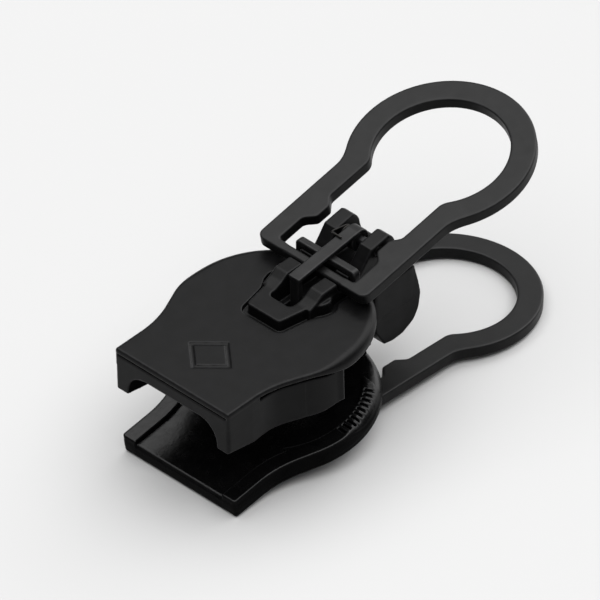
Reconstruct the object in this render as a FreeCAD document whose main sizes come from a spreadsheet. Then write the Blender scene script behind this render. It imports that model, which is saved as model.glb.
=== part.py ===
import FreeCAD, Part
import math
import os
import Sketcher

# A hinged zipper slider with a pull tab on each side. Two shells turn on a pin through the nose, and
# a spring opens them at the rear. Each shell holds its tab with the same keeper on its outer face, and
# the upper shell also carries the lock lever.
#
# World frame: +X runs from the rear edge to the nose, +Y across, +Z up, and the floor is at Z = 0.
# Every shell, and the mechanism on it, is drawn in a shell frame: the origin is the middle of the
# rear edge on the outer face, x runs forward, and z points out of the slider, so the chain is at z < 0.

V = FreeCAD.Vector
doc = FreeCAD.newDocument("zipper_slider")

DIMENSIONS = (
    # pose of the two shells and the hinge that joins them
    ("rear_edge_x", -14.932),
    ("upper_tilt", 1.7),
    ("lower_tilt", 8.6),
    ("hinge_x", 17.3),
    ("hinge_depth", 3.4),
    ("knuckle_radius", 2.42),
    ("knuckle_half", 2.6),
    ("middle_half", 1.2),
    ("knuckle_gap", 0.1),
    ("side_gap", 0.08),
    ("neck_rear_x", 15.7),
    ("nose_x", 19.2),
    ("middle_neck_rear_x", 14.9),
    ("middle_neck_front_x", 16.2),
    ("hinge_pin_radius", 0.6),
    ("hinge_pin_gap", 0.05),
    ("blind_end", 0.7),
    ("spring_slot_half", 0.6),
    ("spring_slot_rear_x", 14.7),
    # plan outline of both shells
    ("rear_over", 0.27),
    ("rear_half", 4.96),
    ("flare_x", 3.4),
    ("flank_angle", 23.0),
    ("shoulder_x", 8.9),
    ("shoulder_radius", 6.65),
    # plates, side flanges and rim
    ("upper_plate", 1.4),
    ("lower_plate", 1.2),
    ("plate_round", 0.3),
    ("flange_depth", 3.7),
    ("flange_wall", 1.05),
    ("flange_inset", 0.1),
    ("flange_front_x", 8.8),
    ("flange_rear_depth", 3.2),
    ("flange_full_x", 2.2),
    ("flange_step_x", 7.2),
    ("flange_front_depth", 3.4),
    ("rim_height", 0.4),
    ("rim_wall", 0.75),
    ("rim_front_x", 13.0),
    # raised boss, its slot and the window for the locking toe
    ("boss_height", 0.55),
    ("boss_rear_x", 8.1),
    ("boss_rear_half", 1.42),
    ("boss_waist_x", 10.4),
    ("boss_waist_half", 1.92),
    ("boss_flare_x", 11.4),
    ("boss_flare_half", 2.5),
    ("boss_neck_x", 12.1),
    ("boss_corner", 0.35),
    ("slot_rear_x", 9.5),
    ("slot_half", 0.95),
    ("slot_depth", 0.6),
    ("window_rear_x", 10.05),
    ("window_front_x", 11.45),
    ("window_half", 0.46),
    # saddle cheeks, keeper staple and ears
    ("cheek_half", 2.1),
    ("cheek_rear_x", 10.3),
    ("cheek_top_x", 11.5),
    ("cheek_height", 1.15),
    ("cheek_front_x", 14.9),
    ("cheek_brow", 0.1),
    ("ramp_height", 0.44),
    ("pivot_x", 13.225),
    ("lower_pivot_x", 12.8),
    ("pivot_height", 0.85),
    ("journal_radius", 0.42),
    ("journal_gap", 0.05),
    ("keeper_rear_x", 13.8),
    ("keeper_front_x", 14.35),
    ("keeper_half", 2.6),
    ("keeper_top", 1.66),
    ("keeper_bar", 0.45),
    ("keeper_leg", 0.42),
    ("keeper_sunk", 0.5),
    ("keeper_round", 0.12),
    ("keeper_corner", 0.3),
    ("ear_inner", 1.0),
    ("ear_arc_x", 16.95),
    ("ear_arc_height", 1.2),
    ("ear_radius", 1.2),
    ("ear_rear_angle", 150.0),
    ("ear_foot_x", 18.5),
    # lock lever, its pin and its spring
    ("lever_pin_x", 16.6),
    ("lever_pin_height", 1.5),
    ("lever_pin_radius", 0.36),
    ("lever_pin_gap", 0.04),
    ("lever_half", 0.475),
    ("lever_rear_x", 10.95),
    ("lever_rear_top", 1.65),
    ("lever_eye", 0.78),
    ("lever_strip", 0.28),
    ("toe_half", 0.38),
    ("toe_width", 0.4),
    ("toe_reach", 1.0),
    ("toe_point", 0.3),
    ("brow_back", 0.3),
    ("brow_drop", 0.1),
    ("lever_wire", 0.14),
    ("lever_rings", 3),
    ("front_leg", 1.1),
    ("hook_back", 1.25),
    ("hook_rise", 0.74),
    ("hook_bend", 0.2),
    # pull tab, in its own frame with the crossbar's axis at the origin
    ("upper_tab_angle", 9.83),
    ("lower_tab_angle", 10.633),
    ("tab_thick", 0.85),
    ("tab_rear", 0.325),
    ("tab_half", 4.75),
    ("tab_corner", 0.6),
    ("tab_play", 0.4),
    ("arm_inner", 3.3),
    ("arm_waist_x", 2.5),
    ("bump_rear_x", 3.15),
    ("bump_front_x", 4.3),
    ("bump_inner", 2.6),
    ("neck_x", 4.95),
    ("neck_inner", 3.15),
    ("neck_bend", 0.5),
    ("ring_x", 11.95),
    ("ring_outer", 6.2),
    ("ring_inner", 4.5),
    # wedge, latch and their pins
    ("wedge_tip_x", 11.7),
    ("wedge_tip_half", 0.35),
    ("wedge_wide_x", 14.3),
    ("wedge_half", 2.35),
    ("wedge_front_x", 14.78),
    ("wedge_slot_x", 12.6),
    ("wedge_slot_half", 0.4),
    ("wedge_gap", 0.06),
    ("rivet_x", 13.35),
    ("rivet_y", 0.98),
    ("rivet_radius", 0.28),
    ("rivet_into_plate", 0.9),
    ("rivet_into_wedge", 2.6),
    ("latch_x", 14.1),
    ("latch_height", 0.9),
    ("latch_pin_radius", 0.3),
    ("latch_pin_half", 1.7),
    ("latch_half", 0.32),
    ("latch_boss", 0.46),
    ("latch_top", 3.0),
    ("latch_nose", 0.45),
    ("latch_reach", 1.0),
    ("latch_taper", 0.2),
    ("latch_back", 0.2),
    ("leaf_x", 14.64),
    ("leaf_thick", 0.1),
    ("leaf_tall", 1.9),
    ("leaf_bow", 6.0),
    ("leaf_half", 0.25),
    ("latch_turn", 9.0),
    ("strike_x", 12.7),
    ("strike_stem", 0.3),
    ("strike_barb", 0.25),
    ("strike_half", 0.3),
    ("strike_drop", 1.3),
    ("strike_thick", 0.3),
    ("jaw_wire", 0.32),
    ("jaw_rings", 3),
    ("jaw_leg_out", 1.3),
    ("jaw_leg_in", 1.5),
    # engraved lozenge on the upper plate
    ("mark_x", 3.3),
    ("mark_long", 1.7),
    ("mark_wide", 1.9),
    ("mark_line", 0.32),
    ("mark_depth", 0.12),
)

sheet = doc.addObject("Spreadsheet::Sheet", "dims")
for row, (alias, value) in enumerate(DIMENSIONS, start=1):
    sheet.set(f"A{row}", alias)
    sheet.set(f"B{row}", str(value))
    sheet.setAlias(f"B{row}", alias)
doc.recompute()


class Size:
    """A size with its value and the formula that binds it to the sheet."""

    def __init__(self, formula, value):
        self.formula = formula
        self.value = value

    def __add__(self, other):
        other = size_of(other)
        return Size(f"({self.formula} + {other.formula})", self.value + other.value)

    def __sub__(self, other):
        other = size_of(other)
        return Size(f"({self.formula} - {other.formula})", self.value - other.value)

    def __mul__(self, other):
        other = size_of(other)
        return Size(f"({self.formula} * {other.formula})", self.value * other.value)

    def __truediv__(self, other):
        other = size_of(other)
        return Size(f"({self.formula} / {other.formula})", self.value / other.value)

    def __rsub__(self, other):
        return size_of(other) - self

    def __neg__(self):
        return Size(f"(0 - {self.formula})", -self.value)


def size_of(number):
    """A Size as it is, or a plain number as a Size."""
    return number if isinstance(number, Size) else Size(str(number), float(number))


def sine(angle):
    return Size(f"sin({angle.formula} * 1 deg)", math.sin(math.radians(angle.value)))


def cosine(angle):
    return Size(f"cos({angle.formula} * 1 deg)", math.cos(math.radians(angle.value)))


def root(number):
    return Size(f"sqrt({number.formula})", math.sqrt(number.value))


class Dims:
    """Every cell of the sheet as a Size, by its alias."""


d = Dims()
for alias, value in DIMENSIONS:
    setattr(d, alias, Size(f"dims.{alias}", value))

CLOSED_GAP = d.hinge_depth * 2 - d.upper_plate - d.lower_plate
ZERO = size_of(0)
THROUGH = 1.0  # how far a cut runs past the face it leaves by
OVERLAP = 0.2  # how far an added block runs into the one it stands on
LEAST_CUT = 1e-4
COIL_PITCH = 1.06  # coil spacing, in wire widths
COIL_CLEAR = 0.7  # coil radius over its pin, in wire widths


# ---------------------------------------------------------------------------------------------------
# Sketches and features


class Corner:
    """A corner of a closed outline. arc is the radius of the curve that arrives at it, and turn is 1
    for an anticlockwise curve and -1 for a clockwise one."""

    def __init__(self, x, y, arc=None, turn=1):
        self.x = size_of(x)
        self.y = size_of(y)
        self.arc = arc
        self.turn = turn

    def vector(self):
        return V(self.x.value, self.y.value, 0)


def new_body(label):
    body = doc.addObject("PartDesign::Body", label)
    body.Label = label
    return body


def new_sketch(body, name, plane, offset=None):
    """A sketch on one of the body's own origin planes, moved along that plane's normal."""
    sketch = body.newObject("Sketcher::SketchObject", name)
    for feature in body.Origin.OriginFeatures:
        if feature.Role == plane:
            sketch.AttachmentSupport = (feature, [""])
    sketch.MapMode = "FlatFace"
    if offset is not None:
        sketch.setExpression("AttachmentOffset.Base.z", size_of(offset).formula)
    return sketch


def bind(sketch, constraint, size):
    index = sketch.addConstraint(constraint)
    sketch.setExpression(f"Constraints[{index}]", size.formula)


def draw_circle(sketch, x, y, radius):
    x, y = size_of(x), size_of(y)
    circle = Part.Circle(V(x.value, y.value, 0), V(0, 0, 1), radius.value)
    index = sketch.addGeometry(circle)
    bind(sketch, Sketcher.Constraint("DistanceX", -1, 1, index, 3, x.value), x)
    bind(sketch, Sketcher.Constraint("DistanceY", -1, 1, index, 3, y.value), y)
    bind(sketch, Sketcher.Constraint("Radius", index, radius.value), radius)


def arc_between(start, corner):
    """The shorter arc from start to corner, which Part always runs anticlockwise."""
    chord = corner.vector() - start
    radius = corner.arc.value
    side = V(-chord.y, chord.x, 0).normalize() * corner.turn
    rise = math.sqrt(max(radius**2 - (chord.Length / 2) ** 2, 0))
    centre = start + chord * 0.5 + side * rise
    first, last = (start, corner.vector()) if corner.turn > 0 else (corner.vector(), start)
    from_angle = math.atan2(first.y - centre.y, first.x - centre.x)
    to_angle = math.atan2(last.y - centre.y, last.x - centre.x)
    return Part.ArcOfCircle(Part.Circle(centre, V(0, 0, 1), radius), from_angle, to_angle)


def draw_loop(sketch, corners):
    """One closed outline through the corners, every corner bound to the sheet."""
    ends = []
    for number, corner in enumerate(corners):
        start = corners[number - 1].vector()
        if corner.arc is None:
            index = sketch.addGeometry(Part.LineSegment(start, corner.vector()))
            ends.append((index, 1, 2))
            continue
        index = sketch.addGeometry(arc_between(start, corner))
        ends.append((index, 1, 2) if corner.turn > 0 else (index, 2, 1))
        bind(sketch, Sketcher.Constraint("Radius", index, corner.arc.value), corner.arc)
    for number, corner in enumerate(corners):
        index, _, end = ends[number]
        following, begin, _ = ends[(number + 1) % len(ends)]
        sketch.addConstraint(Sketcher.Constraint("Coincident", index, end, following, begin))
        bind(sketch, Sketcher.Constraint("DistanceX", -1, 1, index, end, corner.x.value), corner.x)
        bind(sketch, Sketcher.Constraint("DistanceY", -1, 1, index, end, corner.y.value), corner.y)


def box_loop(low_x, low_y, high_x, high_y):
    return [Corner(low_x, low_y), Corner(high_x, low_y), Corner(high_x, high_y), Corner(low_x, high_y)]


def mirrored(half):
    """A closed outline from its half at y > 0, whose corners run forward."""
    loop = list(half)
    arc, turn = None, 1
    for corner in reversed(half):
        loop.append(Corner(corner.x, -corner.y, arc, turn))
        arc, turn = corner.arc, corner.turn
    return loop


def other_side(loop):
    """The same outline on the other side of the slider."""
    return [Corner(corner.x, -corner.y, corner.arc, -corner.turn) for corner in loop]


def add_length(feature, length, symmetric, backward):
    if symmetric:
        feature.SideType = "Symmetric"
    feature.Reversed = backward
    feature.setExpression("Length", size_of(length).formula)


def pad(body, name, plane, loops, length, at=None, symmetric=False, backward=False, circles=()):
    sketch = new_sketch(body, f"{name}_outline", plane, at)
    for loop in loops:
        draw_loop(sketch, loop)
    for circle in circles:
        draw_circle(sketch, *circle)
    feature = body.newObject("PartDesign::Pad", name)
    feature.Profile = sketch
    add_length(feature, length, symmetric, backward)
    doc.recompute()
    return feature


def pocket(body, name, plane, loops, length, at=None, symmetric=False, backward=False, circles=()):
    """A cut that must take something away."""
    before = body.Shape.Volume
    sketch = new_sketch(body, f"{name}_outline", plane, at)
    for loop in loops:
        draw_loop(sketch, loop)
    for circle in circles:
        draw_circle(sketch, *circle)
    feature = body.newObject("PartDesign::Pocket", name)
    feature.Profile = sketch
    add_length(feature, length, symmetric, backward)
    doc.recompute()
    if body.Shape.Volume > before - LEAST_CUT:
        raise RuntimeError(f"{body.Label}: {name} cuts nothing")
    return feature


def edges_where(shape, test):
    """The names of the edges whose middle point and box pass the test."""
    names = []
    for number, edge in enumerate(shape.Edges, start=1):
        middle = edge.valueAt((edge.FirstParameter + edge.LastParameter) / 2)
        if test(middle, edge.BoundBox):
            names.append(f"Edge{number}")
    return names


def round_edges(body, name, radius, test):
    base = body.Tip
    names = edges_where(base.Shape, test)
    if not names:
        raise RuntimeError(f"{body.Label}: {name} finds no edge")
    feature = body.newObject("PartDesign::Fillet", name)
    feature.Base = (base, names)
    feature.setExpression("Radius", radius.formula)
    doc.recompute()
    return feature


def near(number, size, slack=0.01):
    return abs(number - size.value) < slack


def upright(box):
    """Whether an edge's box is that of an edge along Z."""
    return box.ZLength > 10 * max(box.XLength, box.YLength)


# ---------------------------------------------------------------------------------------------------
# Shells


def rear_and_flank(inset):
    """The plan outline on the left side, drawn in by inset, from the rear edge to the shoulder."""
    radius = d.shoulder_radius - inset
    return [
        Corner(-d.rear_over, d.rear_half - inset),
        Corner(d.flare_x, d.rear_half - inset),
        Corner(d.shoulder_x - radius * sine(d.flank_angle), radius * cosine(d.flank_angle)),
    ]


def wall_side(inset, front_x):
    """The left side of a wall along the outline, which ends on the shoulder."""
    radius = d.shoulder_radius - inset
    ahead = front_x - d.shoulder_x
    end = Corner(front_x, root(radius * radius - ahead * ahead), radius, -1)
    return rear_and_flank(inset) + [end]


def wall_loop(outer_inset, wall, front_x):
    """A wall that follows the plan outline on the left side: outer face forward, inner face back."""
    outer = wall_side(outer_inset, front_x)
    inner = wall_side(outer_inset + wall, front_x)
    loop = list(outer)
    loop.append(Corner(inner[3].x, inner[3].y))
    loop.append(Corner(inner[2].x, inner[2].y, inner[3].arc, 1))
    loop.append(Corner(inner[1].x, inner[1].y))
    loop.append(Corner(inner[0].x, inner[0].y))
    return loop


def add_plate(body, thickness, tongue_half, tongue_front_x):
    """The plate, whose shoulders close on a straight tongue at the front."""
    meet = d.shoulder_x + root(d.shoulder_radius * d.shoulder_radius - tongue_half * tongue_half)
    half = rear_and_flank(ZERO)
    half.append(Corner(meet, tongue_half, d.shoulder_radius, -1))
    half.append(Corner(tongue_front_x, tongue_half))
    pad(body, "plate", "XY_Plane", [mirrored(half)], thickness, at=-thickness)


def add_boss(body):
    """The raised boss with its slot."""
    half = [
        Corner(d.boss_rear_x, d.boss_rear_half),
        Corner(d.boss_waist_x, d.boss_waist_half),
        Corner(d.boss_flare_x, d.boss_flare_half),
        Corner(d.boss_neck_x, d.cheek_half),
        Corner(d.cheek_front_x, d.cheek_half),
    ]
    pad(body, "boss", "XY_Plane", [mirrored(half)], d.boss_height)
    round_edges(
        body, "boss_corners", d.boss_corner,
        lambda p, box: near(p.x, d.boss_rear_x) and upright(box),
    )
    slot = box_loop(d.slot_rear_x, -d.slot_half, d.cheek_front_x, d.slot_half)
    pocket(body, "slot", "XY_Plane", [slot], d.boss_height + d.slot_depth, at=d.boss_height)


def add_window(body, plate):
    """The window that the lever's locking toe reaches through."""
    window = box_loop(d.window_rear_x, -d.window_half, d.window_front_x, d.window_half)
    pocket(body, "window", "XY_Plane", [window], plate + THROUGH * 2, at=size_of(THROUGH))


def add_cheeks(body, pivot_x):
    """The two saddle cheeks that the tab's crossbar turns in, open at the top."""
    ramp = [
        Corner(d.cheek_rear_x, ZERO),
        Corner(d.cheek_front_x, ZERO),
        Corner(d.cheek_front_x, d.boss_height),
        Corner(d.keeper_front_x + d.cheek_brow, d.cheek_height),
        Corner(d.cheek_top_x, d.cheek_height),
        Corner(d.cheek_rear_x, d.ramp_height),
    ]
    sides = d.cheek_half - d.slot_half
    for name, start in (("left_cheek", d.cheek_half), ("right_cheek", -d.slot_half)):
        pad(body, name, "XZ_Plane", [ramp], sides, at=-start)
    groove = d.journal_radius + d.journal_gap
    pocket(
        body, "crossbar_saddle", "XZ_Plane",
        [box_loop(pivot_x - groove, d.pivot_height, pivot_x + groove, d.cheek_height + THROUGH)],
        d.boss_flare_half * 2, symmetric=True,
    )
    pocket(
        body, "crossbar_seat", "XZ_Plane", [], d.boss_flare_half * 2, symmetric=True,
        circles=[(pivot_x, d.pivot_height, groove)],
    )


def add_ears(body):
    """The two ears that hold the lever's pin."""
    rear_x = d.ear_arc_x + d.ear_radius * cosine(d.ear_rear_angle)
    rear_z = d.ear_arc_height + d.ear_radius * sine(d.ear_rear_angle)
    profile = [
        Corner(d.cheek_front_x, ZERO),
        Corner(d.ear_foot_x, ZERO),
        Corner(d.ear_arc_x + d.ear_radius, d.ear_arc_height),
        Corner(rear_x, rear_z, d.ear_radius, 1),
        Corner(d.cheek_front_x, d.boss_height),
    ]
    sides = d.cheek_half - d.ear_inner
    for name, start in (("left_ear", d.cheek_half), ("right_ear", -d.ear_inner)):
        pad(body, name, "XZ_Plane", [profile], sides, at=-start)
    pocket(
        body, "lever_pin_holes", "XZ_Plane", [], (d.cheek_half + THROUGH) * 2, symmetric=True,
        circles=[(d.lever_pin_x, d.lever_pin_height, d.lever_pin_radius)],
    )


def add_keeper_holes(body):
    inner = d.keeper_half - d.keeper_leg
    left = box_loop(d.keeper_rear_x, inner, d.keeper_front_x, d.keeper_half)
    pocket(body, "keeper_holes", "XY_Plane", [left, other_side(left)], d.keeper_sunk)


def add_knuckle(body, name, half, plate, rear_x, front_x):
    """A hinge knuckle and the neck that carries it down from the plate."""
    neck = box_loop(rear_x, -d.hinge_depth, front_x, -plate + OVERLAP)
    pad(body, f"{name}_neck", "XZ_Plane", [neck], half * 2, symmetric=True)
    circle = (d.hinge_x, -d.hinge_depth, d.knuckle_radius)
    pad(body, f"{name}_barrel", "XZ_Plane", [], half * 2, symmetric=True, circles=[circle])


def build_upper_shell():
    body = new_body("upper_shell")
    add_plate(body, d.upper_plate, d.knuckle_half, d.nose_x)
    add_flanges(body)
    add_knuckle(body, "outer_knuckles", d.knuckle_half, d.upper_plate, d.neck_rear_x, d.nose_x)
    clear = d.knuckle_radius + d.knuckle_gap
    gap = box_loop(d.hinge_x - clear, -d.hinge_depth * 2, d.nose_x + THROUGH, clear - d.hinge_depth)
    pocket(body, "middle_gap", "XZ_Plane", [gap], (d.middle_half + d.side_gap) * 2, symmetric=True)
    pocket(
        body, "hinge_bore", "XZ_Plane", [], d.knuckle_half * 2 - d.blind_end, at=-d.knuckle_half,
        backward=True, circles=[(d.hinge_x, -d.hinge_depth, d.hinge_pin_radius)],
    )
    add_boss(body)
    add_window(body, d.upper_plate)
    add_cheeks(body, d.pivot_x)
    add_ears(body)
    add_keeper_holes(body)
    add_strike(body)
    add_mark(body)
    round_rim(body)
    return body


def add_flanges(body):
    """The two side flanges, whose lower edge falls from the rear and lifts again at the front."""
    flange = wall_loop(d.flange_inset, d.flange_wall, d.flange_front_x)
    pad(
        body, "flanges", "XY_Plane", [flange, other_side(flange)], d.flange_depth - d.upper_plate,
        at=-d.flange_depth,
    )
    below = -d.flange_depth - THROUGH
    for name, first, last in (
        ("flange_rear_rise", (-d.rear_over, d.flange_rear_depth), (d.flange_full_x, d.flange_depth)),
        ("flange_front_rise", (d.flange_step_x, d.flange_depth), (d.flange_front_x, d.flange_front_depth)),
    ):
        under = [
            Corner(first[0], -first[1]),
            Corner(first[0], below),
            Corner(last[0], below),
            Corner(last[0], -last[1]),
        ]
        pocket(body, name, "XZ_Plane", [under], d.shoulder_radius * 2, symmetric=True)


def add_strike(body):
    """The barb under the upper plate that the jaw latch hooks."""
    plate = -d.upper_plate
    barb_low = plate - d.strike_drop
    barb_top = barb_low + d.strike_thick
    stem_x = d.strike_x + d.strike_stem
    loop = [
        Corner(d.strike_x, plate + OVERLAP),
        Corner(d.strike_x, barb_low),
        Corner(stem_x + d.strike_barb, barb_low),
        Corner(stem_x + d.strike_barb, barb_top),
        Corner(stem_x, barb_top),
        Corner(stem_x, plate + OVERLAP),
    ]
    pad(body, "strike", "XZ_Plane", [loop], d.strike_half * 2, symmetric=True)


def add_mark(body):
    """A plain engraved lozenge outline near the rear edge."""

    def lozenge(shrink):
        return [
            Corner(d.mark_x - d.mark_long + shrink, ZERO),
            Corner(d.mark_x, d.mark_wide - shrink),
            Corner(d.mark_x + d.mark_long - shrink, ZERO),
            Corner(d.mark_x, shrink - d.mark_wide),
        ]

    pocket(body, "mark", "XY_Plane", [lozenge(ZERO), lozenge(d.mark_line)], d.mark_depth)


def round_rim(body):
    """Round the plate's outer edge along the rear and the sides."""
    round_edges(
        body, "rim", d.plate_round,
        lambda p, box: near(p.z, ZERO) and near(box.ZLength, ZERO) and on_outline(p),
    )


def on_outline(point):
    """Whether a point of the plate's face lies on its outer outline, rear of the tongue."""
    if point.x > d.cheek_front_x.value:
        return False
    from_centre = math.hypot(point.x - d.shoulder_x.value, point.y)
    on_arc = near(from_centre, d.shoulder_radius)
    on_side = point.x < d.shoulder_x.value and abs(point.y) > d.rear_half.value - OVERLAP
    return near(point.x, -d.rear_over) or on_arc or on_side


def build_lower_shell():
    body = new_body("lower_shell")
    add_plate(body, d.lower_plate, d.middle_half, d.middle_neck_front_x)
    rim = wall_loop(ZERO, d.rim_wall, d.rim_front_x)
    pad(body, "rim_walls", "XY_Plane", [rim, other_side(rim)], d.rim_height, at=-d.lower_plate - d.rim_height)
    neck = d.middle_neck_rear_x, d.middle_neck_front_x
    add_knuckle(body, "middle_knuckle", d.middle_half, d.lower_plate, *neck)
    slot = box_loop(d.spring_slot_rear_x, -d.hinge_depth * 2, d.nose_x + THROUGH, -d.lower_plate)
    pocket(body, "spring_slot", "XZ_Plane", [slot], d.spring_slot_half * 2, symmetric=True)
    pocket(
        body, "hinge_bore", "XZ_Plane", [], (d.middle_half + THROUGH) * 2, symmetric=True,
        circles=[(d.hinge_x, -d.hinge_depth, d.hinge_pin_radius + d.hinge_pin_gap)],
    )
    add_boss(body)
    add_cheeks(body, d.lower_pivot_x)
    add_keeper_holes(body)
    pocket(
        body, "rivet_holes", "XY_Plane", [], d.rivet_into_plate, at=-d.lower_plate, backward=True,
        circles=[(d.rivet_x, d.rivet_y, d.rivet_radius), (d.rivet_x, -d.rivet_y, d.rivet_radius)],
    )
    round_rim(body)
    return body


# ---------------------------------------------------------------------------------------------------
# Keepers, lock lever and tabs


def build_keeper(label):
    """The staple that keeps the crossbar in its saddle."""
    body = new_body(label)
    leg = d.keeper_leg
    front = d.keeper_front_x - d.keeper_rear_x
    bar = [
        Corner(-d.keeper_half, -d.keeper_sunk),
        Corner(leg - d.keeper_half, -d.keeper_sunk),
        Corner(leg - d.keeper_half, d.keeper_top - d.keeper_bar),
        Corner(d.keeper_half - leg, d.keeper_top - d.keeper_bar),
        Corner(d.keeper_half - leg, -d.keeper_sunk),
        Corner(d.keeper_half, -d.keeper_sunk),
        Corner(d.keeper_half, d.keeper_top - d.keeper_corner),
        Corner(d.keeper_half - d.keeper_corner, d.keeper_top),
        Corner(d.keeper_corner - d.keeper_half, d.keeper_top),
        Corner(-d.keeper_half, d.keeper_top - d.keeper_corner),
    ]
    pad(body, "staple", "YZ_Plane", [bar], front, at=d.keeper_rear_x)
    round_edges(
        body, "bar_edges", d.keeper_round,
        lambda p, box: near(p.z, d.keeper_top) and box.YLength > d.keeper_half.value,
    )
    return body


def build_lever(label, plate):
    """The strip over both bars: an eye on the pin at the front, a locking toe at the rear."""
    body = new_body(label)
    eye_top = d.lever_pin_height + d.lever_eye
    toe_x = d.lever_rear_x
    toe_low = -plate - d.toe_reach
    brow = [
        Corner(d.lever_pin_x - d.brow_back, eye_top - d.lever_strip),
        Corner(d.lever_pin_x, eye_top - d.brow_drop),
        Corner(d.lever_pin_x - d.brow_drop, eye_top),
    ]
    toe = [
        Corner(toe_x, d.lever_rear_top),
        Corner(toe_x, toe_low + d.toe_point),
        Corner(toe_x + d.toe_width * 0.5, toe_low),
        Corner(toe_x + d.toe_width, toe_low + d.toe_point),
        Corner(toe_x + d.toe_width, d.lever_rear_top - d.lever_strip),
    ]
    pad(body, "strip", "XZ_Plane", [toe + brow], d.toe_half * 2, symmetric=True)
    rear = [
        Corner(toe_x, d.lever_rear_top),
        Corner(toe_x, d.lever_rear_top - d.lever_strip),
    ]
    pad(body, "strip_edges", "XZ_Plane", [rear + brow], d.lever_half * 2, symmetric=True)
    centre = (d.lever_pin_x, d.lever_pin_height)
    pad(
        body, "eye", "XZ_Plane", [], d.lever_half * 2, symmetric=True,
        circles=[(*centre, d.lever_eye)],
    )
    pocket(
        body, "eye_bore", "XZ_Plane", [], (d.lever_half + THROUGH) * 2, symmetric=True,
        circles=[(*centre, d.lever_pin_radius + d.lever_pin_gap)],
    )
    return body


def build_pin(label, x, z, radius, low_y, high_y):
    """A plain pin across the slider, as a cylinder between two walls."""
    body = new_body(label)
    circle = (x, z, radius)
    pad(body, "shank", "XZ_Plane", [], size_of(high_y) - low_y, at=-size_of(high_y), circles=[circle])
    return body


def coil(radius, wire, low_y, rings):
    """A close winding about Y, one ring to a turn, a hair apart."""
    return [
        Part.makeTorus(radius, wire / 2, V(0, low_y + wire * COIL_PITCH * ring, 0), V(0, 1, 0))
        for ring in range(int(rings))
    ]


def straight_leg(start, end, wire):
    return Part.makeCylinder(wire / 2, (end - start).Length, start, end - start)


def hooked_leg(start, hook, end, bend, wire):
    """A leg from start that turns square at the hook and runs on to end."""
    first = (hook - start).normalize()
    second = (end - hook).normalize()
    arc_start = hook - first * bend
    arc_end = hook + second * bend
    arc_middle = arc_start + second * bend + (first - second) * (bend / math.sqrt(2))
    path = Part.Wire([
        Part.LineSegment(start, arc_start).toShape(),
        Part.Arc(arc_start, arc_middle, arc_end).toShape(),
        Part.LineSegment(arc_end, end).toShape(),
    ])
    section = Part.Wire(Part.makeCircle(wire / 2, start, first))
    return path.makePipeShell([section], True, False)


def spring_part(label, solids, centre):
    """A spring of separate solids, drawn about its own pin and moved to centre."""
    spring = doc.addObject("Part::Feature", label)
    spring.Label = label
    spring.Shape = Part.makeCompound([solid.translated(centre) for solid in solids])
    return spring


def build_lever_spring(label):
    """The small torsion spring beside the lever's eye, with one leg on the strip and one in front."""
    wire = d.lever_wire.value
    radius = d.lever_pin_radius.value + wire * COIL_CLEAR
    low_y = d.lever_half.value + wire * COIL_CLEAR
    high_y = low_y + wire * COIL_PITCH * (d.lever_rings.value - 1)
    outside = radius + wire * COIL_PITCH
    hook = V(-d.hook_back.value, high_y, d.hook_rise.value)
    leaves = math.atan2(hook.z, hook.x) - math.acos(outside / math.hypot(hook.x, hook.z))
    start = V(outside * math.cos(leaves), high_y, outside * math.sin(leaves))
    solids = coil(radius, wire, low_y, d.lever_rings.value)
    solids.append(hooked_leg(start, hook, V(hook.x, 0, hook.z), d.hook_bend.value, wire))
    solids.append(straight_leg(V(outside, low_y, 0), V(outside, low_y, -d.front_leg.value), wire))
    return spring_part(label, solids, V(d.lever_pin_x.value, 0, d.lever_pin_height.value))


def build_tab(label):
    """The keyhole-shaped pull tab with its crossbar, flat in its own frame."""
    body = new_body(label)
    half_thick = d.tab_thick * 0.5
    blade = box_loop(-d.tab_rear, -d.tab_half, d.ring_x, d.tab_half)
    pad(body, "blade", "XY_Plane", [blade], d.tab_thick, at=-half_thick)
    ring = (d.ring_x, ZERO, d.ring_outer)
    pad(body, "ring", "XY_Plane", [], d.tab_thick, at=-half_thick, circles=[ring])
    hole = (d.ring_x, ZERO, d.ring_inner)
    pocket(body, "ring_hole", "XY_Plane", [], d.tab_thick, at=half_thick, circles=[hole])
    opening = [
        Corner(d.tab_rear, d.arm_inner),
        Corner(d.arm_waist_x, d.arm_inner),
        Corner(d.bump_rear_x, d.bump_inner),
        Corner(d.bump_front_x, d.bump_inner),
        Corner(d.neck_x, d.neck_inner),
        Corner(d.ring_x - d.neck_inner, d.neck_inner),
    ]
    pocket(body, "opening", "XY_Plane", [mirrored(opening)], d.tab_thick, at=half_thick)
    turned = d.cheek_half + d.tab_play + d.journal_gap
    waist = box_loop(-d.tab_rear - OVERLAP, -turned, d.tab_rear + OVERLAP, turned)
    pocket(body, "waist", "XY_Plane", [waist], d.tab_thick, at=half_thick)
    journal = (ZERO, ZERO, d.journal_radius)
    pad(body, "journal", "XZ_Plane", [], (turned + OVERLAP) * 2, symmetric=True, circles=[journal])
    round_edges(
        body, "corners", d.tab_corner,
        lambda p, box: near(p.x, -d.tab_rear) and near(abs(p.y), d.tab_half) and upright(box),
    )
    round_edges(
        body, "neck_bends", d.neck_bend,
        lambda p, box: upright(box) and d.journal_radius.value < p.x < d.ring_x.value,
    )
    return body


# ---------------------------------------------------------------------------------------------------
# Wedge and latch, inside the lower shell


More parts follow.
